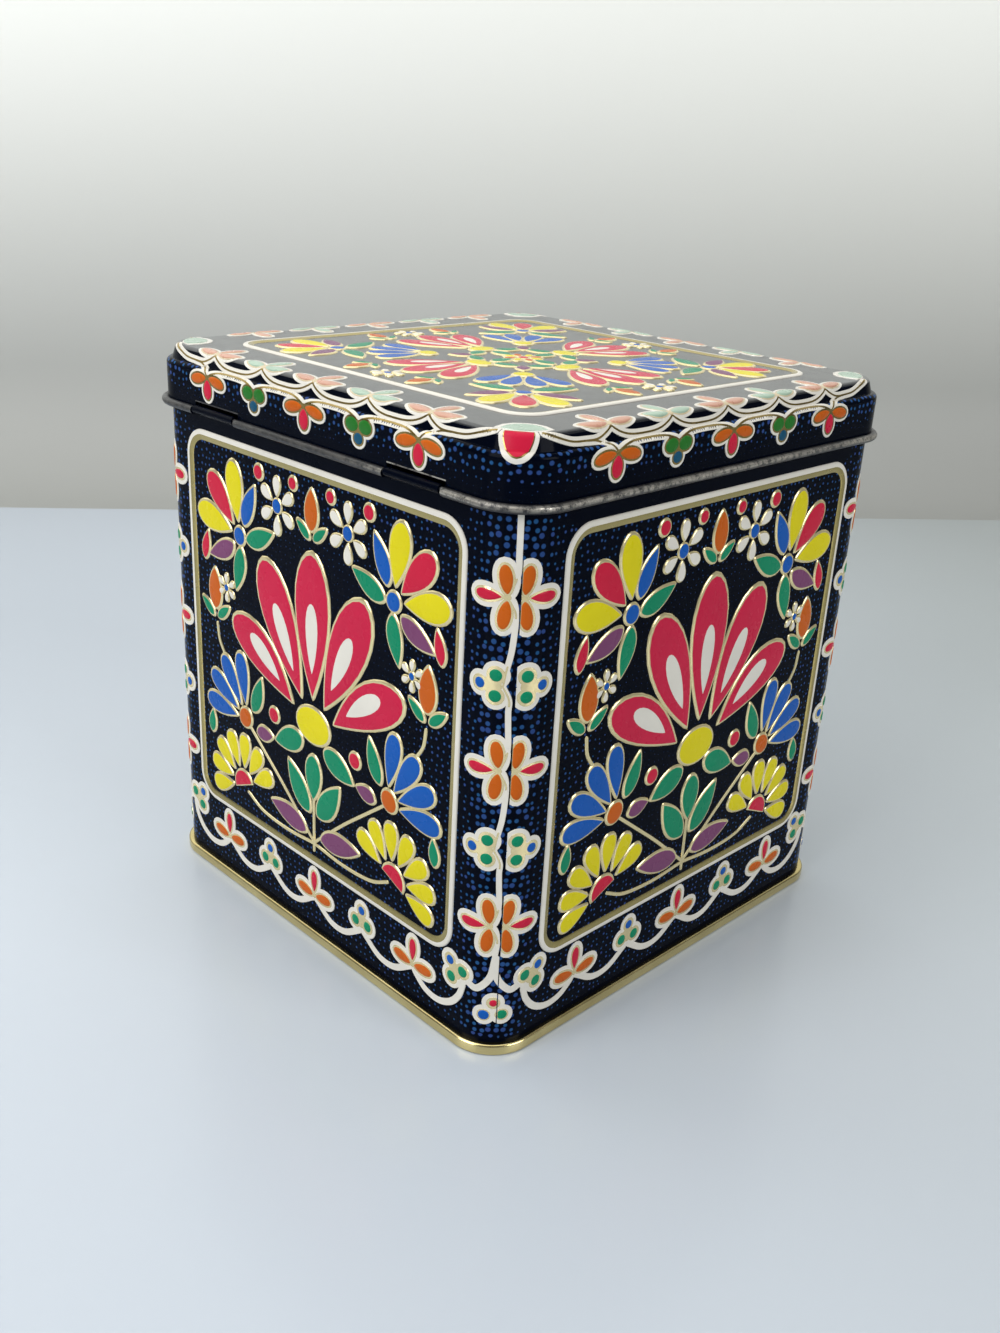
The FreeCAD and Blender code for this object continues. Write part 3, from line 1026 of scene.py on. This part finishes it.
printed = outer_count + HEM_STEPS
zones = [0] * printed + [1] * (len(body_section) - printed)
places, openings = stations_with_openings(WINDOW_HALF)
body_sweep = Sweep(body_section, body_section[:, 1], places, zones)
for start, finish in openings:
    body_sweep.cut(start, finish, [(outer_count - 2, outer_count - 1), (inner_start, inner_start + 1)])
body = body_sweep.build("body_shell", [body_ground, tin])
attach(body, "box")
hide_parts("body_wrap")

# Hinge tabs, bent out of the wall and rolled round the wire
tab_outside = path(
    arc((TAB_BEND, TAB_ROOT), TAB_BEND, 180, 90 + TAB_SLOPE, 6),
    arc((HINGE_OUT, HINGE_Z), CURL, TAB_SLOPE - 90, TAB_SLOPE - 90 + TAB_ROLL, 32),
)
tab_inside = tab_outside - to_right(np.gradient(tab_outside, axis=0)) * SHEET
tab_section = np.concatenate([tab_outside, tab_inside[::-1]])
tab_lengths = along(tab_outside)
tab_rows = np.tile(np.concatenate([tab_lengths, tab_lengths[::-1]]), 2)
count = len(tab_section)
faces = ring_quads(count, 0, count)
for i in range(count // 2 - 1):
    quad = [i, i + 1, count - 2 - i, count - 1 - i]
    faces += [quad[::-1], [count + k for k in quad]]
for side, centre in zip(("left", "right"), KNUCKLE_PLACES):
    ends = (centre - KNUCKLE_WIDTH / 2, centre + KNUCKLE_WIDTH / 2)
    verts = [(x, HALF + d, z) for x in ends for d, z in tab_section]
    uvs = [(verts[i][0], TAB_ROOT + tab_rows[i]) for face in faces for i in face]
    knuckle = add_object(f"hinge_knuckle_{side}", verts, faces, [body_ground], uvs=uvs)
    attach(knuckle, "box")

# Base: panel and double seam
RIM_ROUND = 0.5
RIM_CENTRE = 0.55
FOOT_ROUND = 0.3
PANEL_INSET = -0.32
PANEL_HEIGHTS = (1.9, 2.2)
rim_section = path(
    arc((RIM_CENTRE, RIM_ROUND), RIM_ROUND, 270, 360, 6),
    arc((RIM_CENTRE, RIM_HEIGHT - RIM_ROUND), RIM_ROUND, 0, 90, 6),
    [(0.02, RIM_HEIGHT), (0.02, 2.05), (-0.35, 2.05), (-0.65, 1.9)],
    arc((-0.35, FOOT_ROUND), FOOT_ROUND, 180, 270, 4),
)
base_sweep = Sweep(rim_section, along(rim_section), stations(), [0] * len(rim_section))
base = base_sweep.build("base_rim", [gold_lacquer])
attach(base, "box")
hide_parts("base_pan")

loop = np.stack(around(stations(), PANEL_INSET), 1)
count = len(loop)
verts = [(x, y, z) for z in PANEL_HEIGHTS for x, y in loop]
faces = [list(range(count))[::-1], list(range(count, 2 * count)), *ring_quads(count, 0, count)]
panel = add_object("base_panel", verts, faces, [gold_lacquer])
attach(panel, "box")

# Lid: one drawn sheet with a round curl along its edge, notched for the knuckles
NOTCH_HALF = KNUCKLE_WIDTH / 2 + 0.5
curl_start = 180 - math.degrees(math.acos((HINGE_OUT - SKIRT_OUT) / CURL))
lean = (CROWN_FOOT - CROWN_TIP) / (LID_TOP - LEDGE)
crown_in = SHEET * math.hypot(1, lean) - lean * SHEET
skirt_in = SKIRT_OUT - SHEET
lid_inside = path(
    (skirt_in, NOTCH_HIGH),
    rounded([(skirt_in, SHOULDER_FOOT), (skirt_in, LEDGE - SHEET, SHOULDER - SHEET),
             (CROWN_FOOT - crown_in, LEDGE - SHEET, CREASE + SHEET),
             (CROWN_TIP - crown_in, LID_TOP - SHEET, CROWN_ROUND - SHEET), (CROWN_EDGE, LID_TOP - SHEET)]),
)
curl = arc((HINGE_OUT, CURL_Z), CURL, -180, curl_start, 26)[:-1]
lid_section = path(LID_OUTSIDE[::-1], curl[::-1], lid_inside)
outside_count, curl_count = len(LID_OUTSIDE), len(curl)
crown_count = int(np.sum(LID_LENGTHS > TOP_START))
lengths = np.concatenate([LID_LENGTHS[::-1], -along(curl[::-1]), np.linspace(0, LID_LENGTHS[-1], len(lid_inside))])
zones = [3] * crown_count + [0] * (outside_count - 1 - crown_count) + [1] * (curl_count + 1) + [2] * len(lid_inside)
places, openings = stations_with_openings(NOTCH_HALF)
lid_sweep = Sweep(lid_section, lengths, places, zones)
lid_end = len(lid_section) - 1
lid_sweep.skipped.update((station, lid_end) for station in range(len(places)))
lid_sweep.caps = [(0, 3, False), (lid_end, 2, True)]
notch_first = outside_count - 2
for start, finish in openings:
    lid_sweep.cut(start, finish, [(notch_first, outside_count + curl_count)])
    lid_sweep.marked.update({(station, notch_first - 1): 1 for station in range(start, finish)})
lid = lid_sweep.build("lid_shell", [lid_ground, curl_wear_and_highlight, tin, top_ground])
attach(lid, "lid")
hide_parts("lid_cap")

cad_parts["hinge_wire"].data.materials.clear()
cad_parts["hinge_wire"].data.materials.append(wire_steel)

# Print on the body, with the lock seam at the corner after side 2
panel_design = wall_flowers()
border_design = bottom_border()
body_relief = Relief()
for side in range(4):
    middle = side * SIDE
    place = wall_place(middle)
    frame_band(body_relief, FRAME_LOW, FRAME_HIGH, place)
    body_relief.print(border_design, place, (1.0, 1.0))
    body_relief.print(corner_column(side == 2), wall_place(middle + SIDE / 2), (0.9, 1.6))
    body_relief.print(panel_design, wall_place(middle, PANEL_MIDDLE))
body_relief.build("print_body", ink_materials, "box", "printed_body")

# Print on the lid, with shields at the seam's corner and the one opposite
lid_relief, edge_relief, top_relief = Relief(), Relief(), Relief()
band_design, band_top = lid_band()
shield_design, leaf_design = corner_shield(), corner_leaf()
for side in range(4):
    middle = side * SIDE + LID_SHIFT
    lid_relief.print(band_design, lid_place(middle), (0.5, 0.2))
    if side % 2 == 0:
        lid_relief.print(shield_design, lid_place(middle + SIDE / 2), (0.3, 0.15))
    edge_relief.print(band_top, lid_place(middle, TOP_LIFT), (1.2, 0.4))
    edge_relief.print(leaf_design, lid_corner_place(side + 1))
frame_band(top_relief, -FRAME_HALF, FRAME_HALF, lid_top_place)
top_relief.print(lid_flowers(), lid_top_place)
lid_relief.build("print_lid", lid_materials, "lid", "printed_lid")
edge_relief.build("print_edge", top_materials, "lid", "printed_lid")
top_relief.build("print_top", ink_materials, "lid", "printed_lid")


# Floor, wall, light and camera, in metres
# Two colours blended along an axis: painted shade, standing in for light that falls off across the stage
def stage_material_painted_shade(name, colours, axis, low, high, roughness):
    mat = Shading(name)
    inputs = {0: mat.where, 1: axis}
    reach = mat.node("ShaderNodeVectorMath", inputs, operation="DOT_PRODUCT").outputs["Value"]
    return mat.finish({"Base Color": mat.mixed(mat.ramp(reach, low, high), *colours), "Roughness": roughness})


VIEW = Vector((0.79845, -0.60206, 0)).normalized()
ACROSS = Vector((VIEW.y, -VIEW.x, 0))
STAGE_REACH = 3.0
WALL_DISTANCE = 0.3244
BEND = 0.05


def sheet_stage(name, rows, material):
    verts = []
    for reach, height in rows:
        for side in (-STAGE_REACH, STAGE_REACH):
            point = VIEW * reach + ACROSS * side
            verts.append((point.x / MM, point.y / MM, height / MM))
    faces = [[2 * i, 2 * i + 1, 2 * i + 3, 2 * i + 2] for i in range(len(rows) - 1)]
    obj = add_object(name, verts, faces, [material])


bend = arc((WALL_DISTANCE - BEND, BEND), BEND, 270, 360, 12)
# Painted shade: the floor darkens and greys towards the right of the view
floor_painted_shade = stage_material_painted_shade("floor_painted_shade", ((0.51, 0.56, 0.62), (0.43, 0.465, 0.465)), ACROSS, -0.05, 0.28, 0.25)
# Painted shade: the wall darkens from its top down to where it meets the floor
wall_painted_shade = stage_material_painted_shade("wall_painted_shade", ((0.345, 0.35, 0.33), (0.94, 0.945, 0.89)), (0, 0, 1), 0.0, 0.26, 0.6)
sheet_stage("floor", [(-STAGE_REACH, 0.0), (WALL_DISTANCE - BEND, 0.0)], floor_painted_shade)
sheet_stage("backdrop", [*bend, (WALL_DISTANCE, STAGE_REACH)], wall_painted_shade)


def area_light(name, place, target, size, power):
    light = bpy.data.lights.new(name, "AREA")
    light.size = size
    light.energy = power
    obj = bpy.data.objects.new(name, light)
    obj.location = place
    obj.rotation_euler = (Vector(target) - Vector(place)).to_track_quat("-Z", "Y").to_euler()
    scene.collection.objects.link(obj)


area_light("overhead", (0.05, 0.12, 0.85), (0, 0, 0.05), 0.9, 3.6)
area_light("right_side", (-0.85, -0.15, 0.45), (0, 0, 0.06), 0.5, 3.9)
area_light("left_side", (0.05, 0.95, 0.45), (0, 0, 0.06), 0.6, 5.0)
area_light("wall_wash", (0.15, 0.45, 0.6), (0.46, 0.06, 0.25), 0.4, 1.7)

world = bpy.data.worlds.new("room")
world.use_nodes = True
background = world.node_tree.nodes["Background"]
background.inputs["Color"].default_value = (0.80, 0.84, 0.88, 1)
background.inputs["Strength"].default_value = 0.22
scene.world = world

# The camera is fitted to the photograph, whose long side and focal length are in pixels
PHOTO_HEIGHT = 1333
FOCAL_LENGTH = 1281.85
SENSOR = 36.0
CAMERA_PLACE = Vector((-174.3, 178.3, 149.4)) * MM
camera_data = bpy.data.cameras.new("camera")
camera_data.sensor_width = SENSOR
camera_data.lens = FOCAL_LENGTH * SENSOR / PHOTO_HEIGHT
camera_data.clip_start = 0.01
camera = bpy.data.objects.new("camera", camera_data)
forward = Vector((0.6486, -0.6566, -0.3849)).normalized()
right = Vector((-0.696, -0.7163, 0.0491))
right = (right - forward * right.dot(forward)).normalized()
rotation = Matrix((right, right.cross(forward), -forward)).transposed().to_4x4()
camera.matrix_world = Matrix.Translation(CAMERA_PLACE) @ rotation
scene.collection.objects.link(camera)
scene.camera = camera
